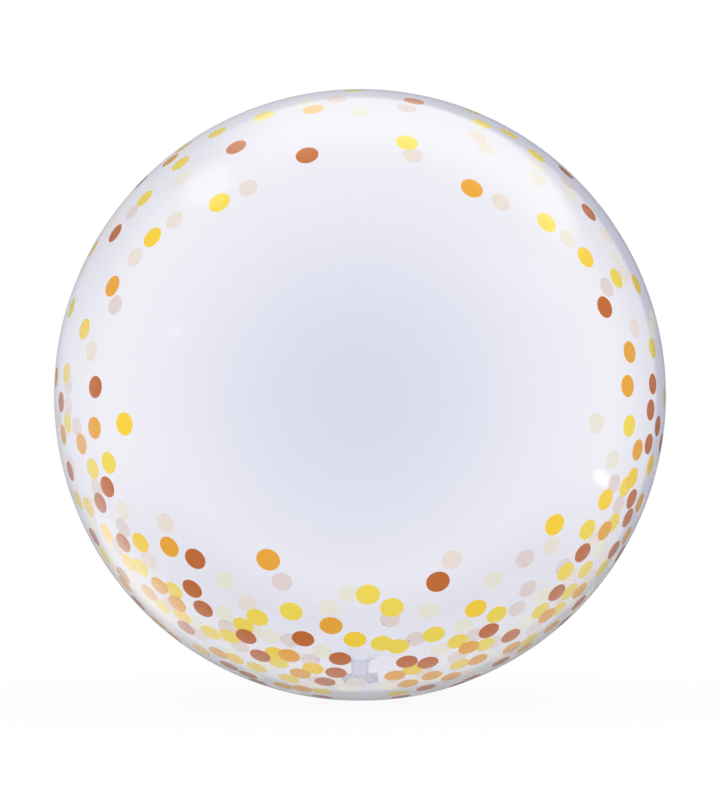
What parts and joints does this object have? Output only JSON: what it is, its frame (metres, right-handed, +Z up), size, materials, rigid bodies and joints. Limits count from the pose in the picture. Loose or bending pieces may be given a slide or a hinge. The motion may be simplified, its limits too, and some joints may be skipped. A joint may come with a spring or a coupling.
{
  "type": "clear bubble balloon",
  "caption": "Clear film bubble balloon: an air-filled ball printed with confetti dots, with a gathered neck and a flat tail, resting on a small flat spot.",
  "frame": {"origin": "middle of the small flat spot on which the ball rests, on the floor", "axes": "+Z up; +Y towards the back, where the neck and the tail are; the printed front faces -Y"},
  "size_m": [0.61, 0.6096, 0.6083],
  "materials": {
    "clear_film": "polished",
    "ink_copper": "gloss",
    "ink_orange": "gloss",
    "ink_golden": "gloss",
    "ink_lemon": "gloss"
  },
  "bodies": {
    "root": {"bubble": "clear_film"}
  },
  "joints": []
}
